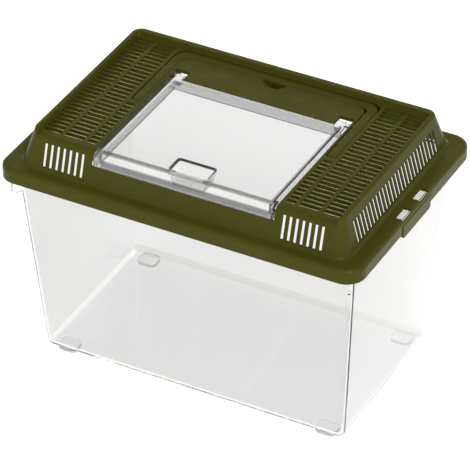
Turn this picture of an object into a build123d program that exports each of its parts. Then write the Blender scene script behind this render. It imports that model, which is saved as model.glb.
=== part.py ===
from build123d import *
import os

os.makedirs("parts", exist_ok=True)

# Free-standing pet keeper: clear drafted tank, opaque push-fit lid with a raised
# ventilated dome, clear hinged feeding hatch and a fold-flat carry handle.
# Units mm. X = long side, front = -Y, +Z up, origin = middle of the plane the
# four feet stand on.

# ---------------------------------------------------------------- dimensions
Z_SKIRT = 166.0            # lower edge of the lid skirt above the table

# tank
FOOT_H = 2.7               # foot pads
FOOT_L, FOOT_W, FOOT_R = 16.0, 14.0, 4.0
FOOT_X, FOOT_Y = 110.2, 62.6
BOT_HX, BOT_HY, BOT_R = 126.5, 71.3, 5.5      # half sizes at the floor
DRAFT_X, DRAFT_Y = 0.0752, 0.0805             # wall draft, mm per mm of height
TOP_R = 4.0
WALL, FLOOR = 2.0, 2.4
BOT_IN_R, TOP_IN_R = 3.0, 2.1                 # inside corners
BOT_ROUND, FLOOR_FILLET = 4.4, 2.1            # floor edge, outside and inside
RIM_Z = Z_SKIRT + 9.15     # top face of the tank rim
RIM_T = 2.0
RIM_HX, RIM_HY, RIM_R = 145.5, 95.5, 13.0
GUSSET_T = 1.8             # corner gusset under the rim
GUSSET_IN, GUSSET_OUT, GUSSET_C = 3.9, 12.7, 5.0   # reach, from a point this far inside both walls
GUSSET_DROP = 16.0         # how far it hangs below the skirt edge
GUSSET_ANGLE = 65.0        # in plan, from the long axis

# lid flange and skirt
LID_HX, LID_HY, LID_R = 148.5, 99.0, 15.0
FLANGE_Z = 11.2            # heights below are measured from the skirt edge
FLANGE_T, SKIRT_T = 2.0, 2.0
SKIRT_ROUND = 3.0

# dome
DOME_HX, DOME_HY, DOME_R = 127.1, 79.6, 8.0   # at the ridge
RIDGE_Z = 40.0
SLOPE_X, SLOPE_Y = 0.26736, 0.29167           # slope, mm per mm of height
BASE_R = 10.5
SHELL = 1.5                # wall of the sloping sides
DECK_Z, DECK_T = 36.0, 2.8                    # recessed top deck
REC_HX, REC_Y = 122.6, 73.4                   # inside of the raised ridge at deck level
REC_FLARE = 1.1
FRONT_R, RIDGE_END_R = 6.0, 9.0
BASE_FILLET = 2.6

# vents
PITCH = 5.15
SLOT = 3.2                 # top grid
FRONT_SLOT, SIDE_SLOT = 2.45, 3.1
ROW_Y0, ROWS, ROWS_SHORT = -70.6, 28, 12
RIB_W, RIB_D = 1.3, 0.36     # sloped rear edge of each rib of the grid
COLUMNS = ((107.6, 123.1), (88.5, 104.6))
COLUMN_SHORT = (77.9, 85.4)
FRONT_X0, FRONT_N = 113.5, 7
SIDE_Y0, SIDE_N, SIDE_PITCH = -64.6, 26, 5.2
VENT_Z0, VENT_Z1 = 13.6, 31.9

# hatch opening
OPEN_HX = 75.0
OPEN_Y1 = 34.5
NOTCH_Z = 25.2             # lower edge of the cut-out in the front slope
OPEN_WALL_T, OPEN_WALL_Z = 1.8, 27.8
HINGE_Y, HINGE_Z = 40.0, 33.0
NOTCH_IN, NOTCH_Y = 63.0, 46.0

# handle channel
CH_OUT, CH_IN = 85.5, 76.8
CH_Y0, CH_Y1, CH_YIN = -7.0, 73.0, 63.6
CH_FLOOR, CH_WALL = 29.0, 1.6
PIVOT_Y, PIVOT_Z = -3.0, 32.8

# snap tabs on the short sides
TAB_HY, TAB_X, TAB_DROP, TAB_TOP = 22.8, 149.0, 4.2, 6.6
SLIT_W, SLIT_TOP = 1.2, 6.5
HOLE_X0, HOLE_X1, HOLE_Y0, HOLE_Y1 = 141.0, 147.5, 6.4, 21.3

# hatch
H_HX, H_Y1, H_T = 70.3, 33.5, 1.6
APRON_HX, APRON_Z = 73.7, 25.6
SKIRT_Z, BACK_Z = 26.4, 26.0
BORDER_T = 1.4             # outward border along the foot of the side skirts
LIP_Y, END_IN = -77.8, 71.0    # the apron is thick only in its two ends, beyond END_IN
PULL_HX, PULL_Y0, PULL_Y1, PULL_Z = 15.2, -74.4, -58.8, 25.0
PULL_DX, PULL_DY = 3.3, 0.9                   # draft of the pocket, each side
LUG_IN, LUG_R, PIN_R, PIN_X = 64.5, 2.8, 1.80, 76.6
PIN_CLEAR = 0.06

# handle
HB_OUT, HB_IN = 85.0, 77.3
HB_Y1, HB_YIN = 72.4, 64.6
HB_Z0, HB_Z1 = 29.8, 35.8
HPIN_R, HPIN_X = 2.0, 87.6


# ------------------------------------------------------------------- helpers
def rrect(hx, hy, r, z, cy=0.0):
    return Plane.XY.offset(z) * Pos(0, cy) * RectangleRounded(2 * hx, 2 * hy, r)


def slab(x0, x1, y0, y1, z0, z1):
    return Pos((x0 + x1) / 2, (y0 + y1) / 2, (z0 + z1) / 2) * Box(x1 - x0, y1 - y0, z1 - z0)


def both_x(shape):
    return [shape, mirror(shape, about=Plane.YZ)]


def x_prism(face_pts, x0, x1):
    """Prism along X of a closed outline given as Edges in the YZ plane."""
    f = make_face(face_pts)
    return Pos(x0, 0, 0) * extrude(f, x1 - x0, dir=(1, 0, 0))


def line(a, b):
    return Line((0, a[0], a[1]), (0, b[0], b[1]))


def arc(a, m, b):
    return ThreePointArc((0, a[0], a[1]), (0, m[0], m[1]), (0, b[0], b[1]))


def rod_x(r, x0, x1, y, z):
    return Pos((x0 + x1) / 2, y, z) * Rot(0, 90, 0) * Cylinder(r, x1 - x0)


# ---------------------------------------------------------------------- tank
def tank_half(z):
    return BOT_HX + (z - FOOT_H) * DRAFT_X, BOT_HY + (z - FOOT_H) * DRAFT_Y


def build_tank():
    tx, ty = tank_half(RIM_Z)
    body = loft([rrect(BOT_HX, BOT_HY, BOT_R, FOOT_H), rrect(tx, ty, TOP_R, RIM_Z)], ruled=True)
    body = fillet(body.faces().sort_by(Axis.Z)[0].edges(), BOT_ROUND)
    body += extrude(rrect(RIM_HX, RIM_HY, RIM_R, RIM_Z - RIM_T), RIM_T)
    # corner gussets: thin upright webs running out from each corner
    gx, gy = tank_half(Z_SKIRT)
    cx, cy = gx - GUSSET_C, gy - GUSSET_C
    g = slab(GUSSET_IN, GUSSET_OUT, -GUSSET_T / 2, GUSSET_T / 2, Z_SKIRT - GUSSET_DROP, RIM_Z - RIM_T + 0.5)
    low = g.edges().filter_by(Axis.Y).sort_by(Axis.Z)[:2].sort_by(Axis.X)[-1]
    g = fillet(low, 3.0)
    for sx in (1, -1):
        for sy in (1, -1):
            ang = GUSSET_ANGLE
            a = ang if (sx, sy) == (1, 1) else 180 - ang if (sx, sy) == (-1, 1) else 180 + ang if (sx, sy) == (-1, -1) else -ang
            body += Pos(sx * cx, sy * cy, 0) * Rot(0, 0, a) * g
    for sx in (1, -1):
        for sy in (1, -1):
            pad = extrude(rrect(FOOT_L / 2, FOOT_W / 2, FOOT_R, 0), FOOT_H + 1.4)
            body += Pos(sx * FOOT_X, sy * FOOT_Y, 0) * pad
    zi = FOOT_H + FLOOR
    ix, iy = tank_half(zi)
    jx, jy = tank_half(RIM_Z + 1)
    hollow = loft([rrect(ix - WALL, iy - WALL, BOT_IN_R, zi),
                   rrect(jx - WALL, jy - WALL, TOP_IN_R, RIM_Z + 1)], ruled=True)
    hollow = fillet(hollow.faces().sort_by(Axis.Z)[0].edges(), FLOOR_FILLET)
    return body - hollow


# ----------------------------------------------------------------------- lid
def dome_half(z, inset=0.0):
    dz = RIDGE_Z - z
    return DOME_HX + dz * SLOPE_X - inset, DOME_HY + dz * SLOPE_Y - inset


def corner_round(r, ycorner, zcorner, x0, x1):
    """Cutter that rounds the front top edge, whose slope leans 0.29 mm per mm."""
    c, s = 0.96, 0.28
    k = 0.75 * r
    t1 = (ycorner + k, zcorner)
    t2 = (ycorner - k * s, zcorner - k * c)
    mid = (t1[0] - 0.6 * r, zcorner - r + 0.8 * r)
    pts = [t1, (t1[0], zcorner + 8), (t2[0] - 12, zcorner + 8), (t2[0] - 12, t2[1]), t2]
    e = [line((pts[i][0], pts[i][1]), (pts[i + 1][0], pts[i + 1][1])) for i in range(4)]
    e.append(arc(t2, mid, t1))
    return Pos(0, 0, Z_SKIRT) * x_prism(e, x0, x1)


def rib_comb(x0, x1, n):
    """Cutter for one column of slots: a comb whose teeth slope the rear edges of its n ribs."""
    z, e = DECK_Z, 0.1 * RIB_D / RIB_W
    pts = [(ROW_Y0 - RIB_W - 0.1, z + 1)]
    for k in range(n):
        y = ROW_Y0 + k * PITCH
        pts += [(y - RIB_W - 0.1, z + e), (y + 0.1, z - RIB_D - e), (y + 0.1, z + e)]
    pts += [(pts[-1][0], z + 1)]
    edges = [line(pts[i], pts[(i + 1) % len(pts)]) for i in range(len(pts))]
    return Pos(0, 0, Z_SKIRT) * x_prism(edges, x0, x1)


def build_lid():
    S = Z_SKIRT
    zf = FLANGE_Z - FLANGE_T
    flange = extrude(rrect(LID_HX, LID_HY, LID_R, S), FLANGE_Z)
    flange = fillet(flange.faces().sort_by(Axis.Z)[-1].edges(), SKIRT_ROUND)
    bx, by = dome_half(zf)
    dome = loft([rrect(bx, by, BASE_R, S + zf), rrect(DOME_HX, DOME_HY, DOME_R, S + RIDGE_Z)], ruled=True)
    dome = fillet(dome.faces().sort_by(Axis.Z)[-1].edges(), 1.8)
    lid = flange + dome
    foot = [e for e in lid.edges() if abs(e.bounding_box().min.Z - (S + FLANGE_Z)) < 0.01
            and abs(e.bounding_box().max.Z - (S + FLANGE_Z)) < 0.01
            and abs(e.center().X) < 138 and abs(e.center().Y) < 91]
    lid = fillet(foot, BASE_FILLET)
    # hollow skirt and dome
    lid -= extrude(rrect(LID_HX - SKIRT_T, LID_HY - SKIRT_T, LID_R - SKIRT_T, S - 1), zf + 1)
    cx0, cy0 = dome_half(zf, SHELL)
    cx1, cy1 = dome_half(DECK_Z - DECK_T, SHELL)
    lid -= loft([rrect(cx0, cy0, BASE_R - 1.5, S + zf - 0.01), rrect(cx1, cy1, DOME_R - 0.5, S + DECK_Z - DECK_T)], ruled=True)
    # handle trough and hatch side walls hang under the deck
    trough = extrude(rrect(CH_OUT + CH_WALL, (CH_Y1 + CH_WALL - CH_Y0 + CH_WALL) / 2, 6.0, S + CH_FLOOR - CH_WALL,
                           (CH_Y1 + CH_Y0) / 2), DECK_Z - CH_FLOOR)
    trough -= slab(-OPEN_HX, OPEN_HX, CH_Y0 - 10, CH_YIN - CH_WALL, S + 20, S + 50)
    lid += trough
    for w in both_x(slab(OPEN_HX, OPEN_HX + OPEN_WALL_T, -80.6, NOTCH_Y + 1.6, S + OPEN_WALL_Z, S + DECK_Z)):
        lid += w
    # scoop bowl behind the panel
    ball = Pos(0, 65.6, S + 43.5) * Sphere(14.6)
    lid += ball & slab(-30, 30, 40, CH_YIN + 0.2, S + 20, S + DECK_Z - 0.2)
    # recess inside the ridge, open to the front
    lid -= loft([rrect(REC_HX, (REC_Y + 110) / 2, 3.0, S + DECK_Z, (REC_Y - 110) / 2),
                 rrect(REC_HX + REC_FLARE, (REC_Y + REC_FLARE + 110) / 2, 3.0, S + RIDGE_Z + 0.5,
                       (REC_Y + REC_FLARE - 110) / 2)], ruled=True)
    # hatch opening, notch in the front slope, hinge notches
    lid -= slab(-OPEN_HX, OPEN_HX, -110, OPEN_Y1, S + NOTCH_Z, S + 60)
    for w in both_x(slab(NOTCH_IN, OPEN_HX, OPEN_Y1 - 1, NOTCH_Y, S + NOTCH_Z, S + 60)):
        lid -= w
    # handle channel
    ch = extrude(rrect(CH_OUT, (CH_Y1 - CH_Y0) / 2, 7.0, S + CH_FLOOR, (CH_Y1 + CH_Y0) / 2), 20)
    keep = extrude(rrect(CH_IN, (CH_YIN + 60) / 2, 8.0, S + CH_FLOOR - 1, (CH_YIN - 60) / 2), 25)
    sq = slab(CH_IN, CH_OUT, CH_Y0, 10, S + CH_FLOOR, S + 49)
    lid -= ch - keep
    for w in both_x(sq):
        lid -= w
    lid -= (Pos(0, 65.6, S + 43.5) * Sphere(13.0)) & slab(-30, 30, 40, CH_YIN + 2, S + 20, S + 60)
    # front top edge
    dy = DOME_HY + (RIDGE_Z - DECK_Z) * SLOPE_Y
    lid -= corner_round(FRONT_R, -dy, DECK_Z, -123.0, 123.0)
    for w in both_x(corner_round(RIDGE_END_R, -DOME_HY, RIDGE_Z, 123.0, 140.0)):
        lid -= w
    # top grid
    rects = Sketch()
    for cols, n in ((COLUMNS, ROWS), ((COLUMN_SHORT,), ROWS_SHORT)):
        for x0, x1 in cols:
            for k in range(n):
                yc = ROW_Y0 + k * PITCH + SLOT / 2
                for sx in (1, -1):
                    rects += Pos(sx * (x0 + x1) / 2, yc) * Rectangle(x1 - x0, SLOT)
    lid -= extrude(Plane.XY.offset(S + DECK_Z - DECK_T - 1) * rects, DECK_T + 2)
    # the ribs' rear edges slope down towards the slot behind them
    for cols, n in ((COLUMNS, ROWS), ((COLUMN_SHORT,), ROWS_SHORT)):
        for x0, x1 in cols:
            for w in both_x(rib_comb(x0, min(x1, REC_HX), n)):
                lid -= w
    # front vents
    fr = Sketch()
    for k in range(FRONT_N):
        for sx in (1, -1):
            fr += Pos(sx * (FRONT_X0 - k * PITCH), S + (VENT_Z0 + VENT_Z1) / 2) * Rectangle(FRONT_SLOT, VENT_Z1 - VENT_Z0)
    lid -= extrude(Plane.XZ.offset(76) * fr, 18)
    # side vents
    sd = Sketch()
    for k in range(SIDE_N):
        sd += Pos(SIDE_Y0 + k * SIDE_PITCH, S + (VENT_Z0 + VENT_Z1) / 2) * Rectangle(SIDE_SLOT, VENT_Z1 - VENT_Z0)
    sv = extrude(Plane.YZ.offset(124.5) * sd, 12)
    for w in both_x(sv):
        lid -= w
    # flange holes and snap tabs
    for s in (1, -1):
        for w in both_x(slab(HOLE_X0, HOLE_X1, min(s * HOLE_Y0, s * HOLE_Y1), max(s * HOLE_Y0, s * HOLE_Y1), S + 8, S + 13)):
            lid -= w
        y0, y1 = sorted((s * TAB_HY, s * (TAB_HY + SLIT_W)))
        for w in both_x(slab(LID_HX - 4, LID_HX + 2, y0, y1, S - 1, S + SLIT_TOP)):
            lid -= w
    tab = slab(LID_HX - SKIRT_T, TAB_X, -TAB_HY, TAB_HY, S - TAB_DROP, S + TAB_TOP)
    tab = fillet(tab.edges().filter_by(Axis.X).sort_by(Axis.Z)[:2], 2.0)
    tab = fillet(tab.edges().filter_by(Axis.Y).sort_by(Axis.Z)[-2:].sort_by(Axis.X)[-1], 0.45)
    for w in both_x(tab):
        lid += w
    # bearings for the hatch pins and the handle pins
    for w in both_x(rod_x(PIN_R + PIN_CLEAR, OPEN_HX - 1, OPEN_HX + OPEN_WALL_T + 0.2, HINGE_Y, S + HINGE_Z)):
        lid -= w
    for w in both_x(rod_x(HPIN_R + PIN_CLEAR, CH_OUT - 1, HPIN_X + 0.4, PIVOT_Y, S + PIVOT_Z)):
        lid -= w
    return lid


# --------------------------------------------------------------------- hatch
def build_hatch():
    S = Z_SKIRT
    yc = -(DOME_HY + (RIDGE_Z - DECK_Z) * SLOPE_Y)
    r, k = FRONT_R, 0.75 * FRONT_R
    cy, cz = yc + k, DECK_Z - r
    t1, t2 = (cy, DECK_Z), (yc - 0.28 * k, DECK_Z - 0.96 * k)
    ybot = t2[0] - (t2[1] - APRON_Z) * SLOPE_Y
    ri = r - H_T
    i1, i2 = (cy, DECK_Z - H_T), (cy - 0.96 * ri, cz + 0.28 * ri)
    e = [line((cy + 2.4, DECK_Z), t1), arc(t1, (cy - 0.6 * r, cz + 0.8 * r), t2), line(t2, (ybot, APRON_Z)),
         line((ybot, APRON_Z), (LIP_Y, APRON_Z)), line((LIP_Y, APRON_Z), (LIP_Y, i2[1])),
         line((LIP_Y, i2[1]), i2), arc(i2, (cy - 0.6 * ri, cz + 0.8 * ri), i1),
         line(i1, (cy + 2.4, DECK_Z - H_T)), line((cy + 2.4, DECK_Z - H_T), (cy + 2.4, DECK_Z))]
    hatch = Pos(0, 0, S) * x_prism(e, -APRON_HX, APRON_HX)
    # between the ends the apron is a wall as thin as the plate
    yin = i2[0] - (i2[1] - APRON_Z + 1) * SLOPE_Y
    thin = [i2, (LIP_Y + 1, i2[1]), (LIP_Y + 1, APRON_Z - 1), (yin, APRON_Z - 1)]
    hatch -= Pos(0, 0, S) * x_prism([line(thin[i], thin[(i + 1) % 4]) for i in range(4)], -END_IN, END_IN)
    hatch += slab(-H_HX, H_HX, cy, H_Y1, S + DECK_Z - H_T, S + DECK_Z)
    for w in both_x(slab(H_HX - H_T, H_HX, cy - 2.6, H_Y1, S + SKIRT_Z, S + DECK_Z - 0.8)):
        hatch += w
    for w in both_x(slab(H_HX - H_T, APRON_HX, cy - 2.6, H_Y1, S + SKIRT_Z, S + SKIRT_Z + BORDER_T)):
        hatch += w
    hatch += slab(-H_HX, H_HX, H_Y1 - H_T, H_Y1, S + BACK_Z, S + DECK_Z - 0.8)
    # finger pull: a drafted pocket behind the front edge
    px, py, pc = PULL_HX, (PULL_Y1 - PULL_Y0) / 2, (PULL_Y1 + PULL_Y0) / 2
    hatch += loft([rrect(px - PULL_DX + 1.4, py - PULL_DY + 1.4, 2.4, S + PULL_Z - 1.4, pc),
                   rrect(px + 1.4, py + 1.4, 3.0, S + DECK_Z, pc)], ruled=True)
    hatch -= loft([rrect(px - PULL_DX, py - PULL_DY, 1.2, S + PULL_Z, pc),
                   rrect(px + 0.1, py + 0.1, 1.8, S + DECK_Z + 0.4, pc)], ruled=True)
    # hinge lugs and pins
    lug = slab(LUG_IN, H_HX, H_Y1 - 1.0, HINGE_Y, S + HINGE_Z - LUG_R, S + HINGE_Z + LUG_R)
    lug += rod_x(LUG_R, LUG_IN, H_HX, HINGE_Y, S + HINGE_Z)
    lug += rod_x(PIN_R, H_HX - 0.5, PIN_X, HINGE_Y, S + HINGE_Z)
    for w in both_x(lug):
        hatch += w
    return hatch


# -------------------------------------------------------------------- handle
def build_handle():
    S = Z_SKIRT
    y0 = -60.0
    bar = extrude(rrect(HB_OUT, (HB_Y1 - y0) / 2, 11.0, S + HB_Z0, (HB_Y1 + y0) / 2), HB_Z1 - HB_Z0)
    bar -= extrude(rrect(HB_IN, (HB_YIN - y0) / 2 + 10, 4.5, S + HB_Z0 - 1, (HB_YIN + y0) / 2 - 10), 12)
    bar -= slab(-100, 100, -120, PIVOT_Y, S, S + 60)
    edges = [e for e in bar.edges() if abs(e.bounding_box().min.Z - e.bounding_box().max.Z) < 0.01
             and e.center().Y > PIVOT_Y + 0.5]
    bar = fillet(edges, 1.3)
    end = rod_x((HB_Z1 - HB_Z0) / 2, HB_IN, HB_OUT, PIVOT_Y, S + PIVOT_Z)
    end = fillet(end.edges(), 1.3)
    pin = rod_x(HPIN_R, HB_OUT - 2, HPIN_X, PIVOT_Y, S + PIVOT_Z)
    for w in both_x(end):
        bar += w
    for w in both_x(pin):
        bar += w
    return bar


NODES = {
    "tank": build_tank,
    "lid": build_lid,
    "feeding_hatch": build_hatch,
    "carry_handle": build_handle,
}

for name, make in NODES.items():
    shape = make()
    solids = shape.solids()
    box = shape.bounding_box()
    print(name, "solids", len(solids), "volume", round(shape.volume), "valid", shape.is_valid,
          "x", round(box.min.X, 2), round(box.max.X, 2), "y", round(box.min.Y, 2), round(box.max.Y, 2),
          "z", round(box.min.Z, 2), round(box.max.Z, 2))
    export_step(solids[0] if len(solids) == 1 else shape, "parts/" + name + ".step")
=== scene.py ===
import math
import bpy
from mathutils import Matrix, Vector


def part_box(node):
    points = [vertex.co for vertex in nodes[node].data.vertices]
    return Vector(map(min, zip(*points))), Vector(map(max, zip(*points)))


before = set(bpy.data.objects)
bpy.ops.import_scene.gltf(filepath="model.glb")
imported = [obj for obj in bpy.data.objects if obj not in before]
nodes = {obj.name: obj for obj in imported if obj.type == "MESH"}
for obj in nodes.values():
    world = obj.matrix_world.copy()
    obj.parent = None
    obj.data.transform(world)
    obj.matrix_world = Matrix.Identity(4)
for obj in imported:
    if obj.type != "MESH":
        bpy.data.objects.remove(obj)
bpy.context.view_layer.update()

scene = bpy.context.scene


# ------------------------------------------------------------------ node help
class Net:
    """Short calls for building one material's node tree."""

    def __init__(self, name):
        self.mat = bpy.data.materials.new(name)
        self.mat.use_nodes = True
        self.tree = self.mat.node_tree
        self.tree.nodes.clear()
        self.out = self.add("ShaderNodeOutputMaterial")
        self.bsdf = self.add("ShaderNodeBsdfPrincipled")
        self.link(self.bsdf.outputs["BSDF"], self.out.inputs["Surface"])

    def add(self, kind, **props):
        n = self.tree.nodes.new(kind)
        for k, v in props.items():
            setattr(n, k, v)
        return n

    def link(self, a, b):
        self.tree.links.new(a, b)

    def coords(self):
        return self.add("ShaderNodeTexCoord").outputs["Object"]

    def noise(self, vec, scale, detail=3.0, rough=0.5):
        n = self.add("ShaderNodeTexNoise")
        n.inputs["Scale"].default_value = scale
        n.inputs["Detail"].default_value = detail
        n.inputs["Roughness"].default_value = rough
        self.link(vec, n.inputs["Vector"])
        return n.outputs["Fac"]

    def ramp(self, fac, stops):
        n = self.add("ShaderNodeValToRGB")
        els = n.color_ramp.elements
        els[0].position, els[0].color = stops[0]
        els[1].position, els[1].color = stops[-1]
        for pos, col in stops[1:-1]:
            e = els.new(pos)
            e.color = col
        self.link(fac, n.inputs["Fac"])
        return n.outputs["Color"]

    def remap(self, fac, lo, hi, a=0.0, b=1.0):
        n = self.add("ShaderNodeMapRange")
        n.inputs["From Min"].default_value = a
        n.inputs["From Max"].default_value = b
        n.inputs["To Min"].default_value = lo
        n.inputs["To Max"].default_value = hi
        self.link(fac, n.inputs["Value"])
        return n.outputs["Result"]

    def bump(self, height, strength, distance, normal=None):
        n = self.add("ShaderNodeBump")
        n.inputs["Strength"].default_value = strength
        n.inputs["Distance"].default_value = distance
        self.link(height, n.inputs["Height"])
        if normal is not None:
            self.link(normal, n.inputs["Normal"])
        return n.outputs["Normal"]

    def bevel(self, radius, samples=4):
        n = self.add("ShaderNodeBevel", samples=samples)
        n.inputs["Radius"].default_value = radius
        return n.outputs["Normal"]

    def math(self, op, a, b=0.0):
        n = self.add("ShaderNodeMath", operation=op)
        for i, v in enumerate((a, b)):
            if isinstance(v, (int, float)):
                n.inputs[i].default_value = v
            else:
                self.link(v, n.inputs[i])
        return n.outputs[0]

    def window(self, v, lo, hi, soft=0.0003):
        """1 where lo < v < hi, with soft ends; None leaves an end open."""
        out = None
        for edge, up in ((lo, True), (hi, False)):
            if edge is None:
                continue
            step = self.remap(v, 0.0 if up else 1.0, 1.0 if up else 0.0, edge - soft, edge + soft)
            out = step if out is None else self.math("MULTIPLY", out, step)
        return out

    def all_of(self, *masks):
        out = masks[0]
        for m in masks[1:]:
            out = self.math("MULTIPLY", out, m)
        return out


def srgb(r, g, b):
    def f(c):
        c /= 255.0
        return c / 12.92 if c <= 0.04045 else ((c + 0.055) / 1.055) ** 2.4
    return (f(r), f(g), f(b), 1.0)


def olive_plastic(name, edge=0.00035):
    """Satin injection-moulded olive brown plastic with a fine grain."""
    m = Net(name)
    v = m.coords()
    cloud = m.noise(v, 14.0, 4.0)
    m.link(m.ramp(cloud, [(0.30, (0.0478, 0.0468, 0.0046, 1)), (0.70, (0.0538, 0.0524, 0.0058, 1))]), m.bsdf.inputs["Base Color"])
    grain = m.noise(v, 2600.0, 2.0, 0.6)
    mottle = m.noise(v, 60.0, 3.0)
    m.link(m.remap(mottle, 0.22, 0.30, 0.3, 0.7), m.bsdf.inputs["Roughness"])
    m.link(m.bump(grain, 0.10, 0.00004, m.bevel(edge)), m.bsdf.inputs["Normal"])
    m.bsdf.inputs["IOR"].default_value = 1.49
    m.bsdf.inputs["Specular IOR Level"].default_value = 0.075
    return m.mat


def clear_plastic(name, tint, zones=None):
    """Polished clear polystyrene with the faintest flow ripple and haze.

    zones(m, x, y, z) gives (mask, tone, roughness) for the frosted places and for the painted light and shade."""
    m = Net(name)
    v = m.coords()
    m.bsdf.inputs["Transmission Weight"].default_value = 1.0
    m.bsdf.inputs["IOR"].default_value = 1.57
    haze = m.noise(v, 22.0, 4.0)
    rough = m.remap(haze, 0.0, 0.03, 0.35, 0.75)
    tone = m.noise(v, 7.0, 2.0)
    colour = m.ramp(tone, [(0.3, (tint - 0.01, tint - 0.01, tint - 0.012, 1)), (0.7, (tint, tint, tint, 1))])
    if zones:
        axes = m.add("ShaderNodeSeparateXYZ")
        m.link(v, axes.inputs[0])
        mottle = m.noise(v, 900.0, 2.0)
        for mask, shade, frost in zones(m, *axes.outputs):
            depth = m.math("MULTIPLY", mask, m.remap(mottle, 0.93, 1.0, 0.35, 0.65))
            # the zone's tone replaces the tint there, painting the zone lighter or darker
            mix = m.add("ShaderNodeMix", data_type="RGBA")
            m.link(depth, mix.inputs["Factor"])
            m.link(colour, mix.inputs["A"])
            mix.inputs["B"].default_value = (shade, shade, shade * 0.985, 1)
            colour = mix.outputs["Result"]
            rough = m.math("MAXIMUM", rough, m.math("MULTIPLY", depth, frost))
    m.link(colour, m.bsdf.inputs["Base Color"])
    m.link(rough, m.bsdf.inputs["Roughness"])
    flow = m.noise(v, 9.0, 1.0)
    m.link(m.bump(flow, 0.04, 0.0006), m.bsdf.inputs["Normal"])
    return m.mat


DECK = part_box("feeding_hatch")[1][2]          # top face of the hatch plate


def hatch_zones(m, x, y, z):
    """Etched skirts, apron and cheeks, toned in bands as painted shade and painted light, and painted dark lines
    along the plate's front and right edges, the right cheek and round the finger pull.
    """
    ax = m.math("ABSOLUTE", x)
    top = m.window(z, DECK - 0.0019, None, 0.00004)
    low = m.window(z, None, DECK - 0.0014)
    front = m.window(y, None, -0.0776)
    # painted light: the finger-pull pocket below the plate top is lightened
    yield m.all_of(m.window(ax, None, 0.0167), m.window(y, -0.0762, -0.0570), m.window(z, None, DECK - 0.0020)), 0.91, 0.0
    # painted light: a lighter band on the upper part of the front apron
    yield m.all_of(m.window(y, None, -0.0785), m.window(z, DECK - 0.0050, DECK - 0.0004)), 0.93, 0.0
    # frosted inner faces of the side skirts, greyed as painted shade
    yield m.all_of(m.window(ax, 0.0684, 0.0695), low, m.window(y, -0.0735, None)), 0.66, 0.25
    # frosted back skirt, greyed as painted shade
    yield m.all_of(m.window(y, 0.0314, 0.0327), low), 0.38, 0.25
    # frosted front apron with painted shade: a dark middle band and a grey bottom line
    yield m.all_of(front, m.window(z, DECK - 0.0098, DECK - 0.0051)), 0.24, 0.30
    yield m.all_of(front, m.window(z, None, DECK - 0.0098)), 0.62, 0.30
    # painted shade: a dark line along the plate's front edge, left open in front of the finger pull
    gap = m.math("SUBTRACT", 1.0, m.all_of(m.window(ax, None, 0.0136), m.window(y, -0.0776, -0.0756)))
    yield m.all_of(m.window(y, -0.0783, -0.0749), m.window(z, DECK - 0.0030, None), gap), 0.25, 0.25
    # frosted cheeks; painted light on the left cheek, painted shade on the right cheek and a painted near-black line
    # at its outer end
    yield m.all_of(front, m.window(x, None, -0.0680)), 0.86, 0.40
    yield m.all_of(front, m.window(x, 0.0706, 0.0723)), 0.76, 0.40
    yield m.all_of(front, m.window(x, 0.0723, None)), 0.02, 0.10
    # painted shade: a grey line, then a near-black line, along the plate's right edge only
    run = m.window(y, -0.0765, 0.0336)
    yield m.all_of(m.window(x, 0.0683, 0.0694), top, run), 0.34, 0.15
    yield m.all_of(m.window(x, 0.0694, None), top, run), 0.010, 0.05
    # distance outside the rounded outline of the finger pull
    across = m.math("MAXIMUM", m.math("SUBTRACT", ax, 0.0135), 0.0)
    along = m.math("MAXIMUM", m.math("SUBTRACT", m.math("ABSOLUTE", m.math("SUBTRACT", y, -0.0666)), 0.0060), 0.0)
    away = m.math("SUBTRACT", m.math("SQRT", m.math("ADD", m.math("MULTIPLY", across, across), m.math("MULTIPLY", along, along))), 0.0018)
    # painted shade: a near-black ring round the finger pull's sides and back
    ring = m.all_of(m.window(ax, None, 0.0165), m.window(y, -0.0760, -0.0570), m.window(z, DECK - 0.0019, None, 0.00004), m.window(away, -0.0009, 0.0010, 0.0001))
    yield m.all_of(ring, m.window(y, -0.0735, None)), 0.005, 0.05


def tank_zones(m, x, y, z):
    """Satin feet, end walls darkened towards the top as painted shade, and the floor edge with a painted highlight
    in front and at the ends and painted shade at the back.
    """
    ax = m.math("ABSOLUTE", x)
    # painted shade: the end walls get darker towards the top
    ends = m.window(m.math("SUBTRACT", ax, m.math("MULTIPLY", z, 0.0752)), 0.1240, None, 0.0002)
    yield m.all_of(ends, m.remap(z, 0.0, 1.0, 0.045, 0.150)), 0.75, 0.0
    yield m.window(z, None, 0.0025, 0.0002), 1.0, 0.60
    foot = m.window(z, None, 0.0074)
    back = m.window(y, 0.0668, None)
    rest = m.math("SUBTRACT", 1.0, back)
    # painted highlight: the floor edge at the front and the ends is left untinted, so it shows as a bright line
    yield m.all_of(foot, rest, m.math("MAXIMUM", m.window(ax, 0.1224, None), m.window(y, None, -0.0673))), 1.0, 0.0
    # painted shade: a grey band along the back floor edge
    yield m.all_of(m.window(z, None, 0.0090), back), 0.72, 0.05
    yield m.all_of(m.window(ax, 0.1342, None), m.window(m.math("ABSOLUTE", y), 0.0815, None)), 0.97, 0.12


def put(obj, mat):
    obj.data.materials.clear()
    obj.data.materials.append(mat)


put(nodes["lid"], olive_plastic("olive_lid"))
put(nodes["carry_handle"], olive_plastic("olive_handle"))
put(nodes["tank"], clear_plastic("clear_tank", 0.84, tank_zones))
put(nodes["feeding_hatch"], clear_plastic("clear_hatch", 0.845, hatch_zones))

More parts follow.
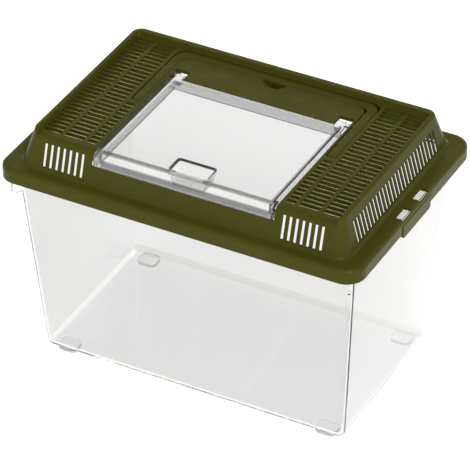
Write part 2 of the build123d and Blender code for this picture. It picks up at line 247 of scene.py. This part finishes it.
# ---------------------------------------------------------------------- stage
# a lit white table, a white horizon, a dimmer ceiling and one soft key lamp
bpy.ops.mesh.primitive_plane_add(size=12.0, location=(0, 0, -0.0002))
floor = bpy.context.object
floor.name = "floor"
fm = Net("pale_floor")
fm.bsdf.inputs["Roughness"].default_value = 0.9
fm.bsdf.inputs["Specular IOR Level"].default_value = 0.1
fn = fm.noise(fm.coords(), 1.5, 2.0)
fm.link(fm.ramp(fn, [(0.3, (0.34, 0.34, 0.34, 1)), (0.7, (0.36, 0.36, 0.36, 1))]), fm.bsdf.inputs["Base Color"])
fm.bsdf.inputs["Emission Color"].default_value = (1, 1, 1, 1)
fm.bsdf.inputs["Emission Strength"].default_value = 0.95
put(floor, fm.mat)

world = bpy.data.worlds.new("studio")
scene.world = world
world.use_nodes = True
wt = world.node_tree
wt.nodes.clear()


def wmath(op, a, b):
    n = wt.nodes.new("ShaderNodeMath")
    n.operation = op
    for i, v in enumerate((a, b)):
        if isinstance(v, (int, float)):
            n.inputs[i].default_value = v
        else:
            wt.links.new(v, n.inputs[i])
    return n.outputs[0]


def wstep(v, a, b, lo, hi):
    n = wt.nodes.new("ShaderNodeMapRange")
    n.interpolation_type = "SMOOTHSTEP"
    wt.links.new(v, n.inputs["Value"])
    for key, val in (("From Min", a), ("From Max", b), ("To Min", lo), ("To Max", hi)):
        n.inputs[key].default_value = val
    return n.outputs["Result"]


def wdot(vec, d):
    n = wt.nodes.new("ShaderNodeVectorMath")
    n.operation = "DOT_PRODUCT"
    wt.links.new(vec, n.inputs[0])
    n.inputs[1].default_value = d
    return n.outputs["Value"]


wdir = wt.nodes.new("ShaderNodeTexCoord").outputs["Generated"]
height = wdot(wdir, (0, 0, 1))
ceiling = wstep(height, 0.24, 0.50, 1.0, 0.46)
strip = wmath("MULTIPLY", wstep(wdot(wdir, (-0.385, 0.923, 0.0)), 0.90, 0.97, 0.0, 22.0),
              wmath("MULTIPLY", wstep(height, 0.15, 0.19, 0.0, 1.0), wstep(height, 0.21, 0.25, 1.0, 0.0)))
both = wt.nodes.new("ShaderNodeAddShader")
for strength, colour, slot in ((ceiling, (1, 1, 1, 1), 0), (strip, (1.0, 0.96, 0.48, 1), 1)):
    bg = wt.nodes.new("ShaderNodeBackground")
    bg.inputs["Color"].default_value = colour
    wt.links.new(strength, bg.inputs["Strength"])
    wt.links.new(bg.outputs[0], both.inputs[slot])
wo = wt.nodes.new("ShaderNodeOutputWorld")
wt.links.new(both.outputs[0], wo.inputs["Surface"])

key = bpy.data.objects.new("key", bpy.data.lights.new("key", "SUN"))
key.data.energy = 2.2
key.data.angle = math.radians(22)
scene.collection.objects.link(key)
key.rotation_mode = "QUATERNION"
key.rotation_quaternion = Vector((-0.46, 0.46, -0.76)).to_track_quat("-Z", "Y")

# --------------------------------------------------------------------- camera
cam_data = bpy.data.cameras.new("camera")
cam = bpy.data.objects.new("camera", cam_data)
scene.collection.objects.link(cam)
right = Vector((0.88428617, 0.46694537, 0.0))
up = Vector((-0.2698678, 0.51106698, 0.81607715))
fwd = Vector((-0.38106344, 0.72164573, -0.57794298))
rot = Matrix((right, up, -fwd)).transposed()
cam.rotation_mode = "QUATERNION"
cam.rotation_quaternion = rot.to_quaternion()
cam.location = (1.042032, -1.974525, 1.682971)
cam_data.sensor_fit = "HORIZONTAL"
cam_data.sensor_width = 36.0
cam_data.lens = 3637.27 / 470.0 * 36.0
cam_data.clip_start, cam_data.clip_end = 0.05, 50.0
scene.camera = cam

# light is followed far enough inside the clear walls to come out at their edges
scene.cycles.max_bounces = 32
scene.cycles.glossy_bounces = 32
scene.cycles.transmission_bounces = 32

scene.view_settings.view_transform = "Standard"
scene.view_settings.look = "None"
scene.view_settings.exposure = 0.0
scene.view_settings.gamma = 1.0
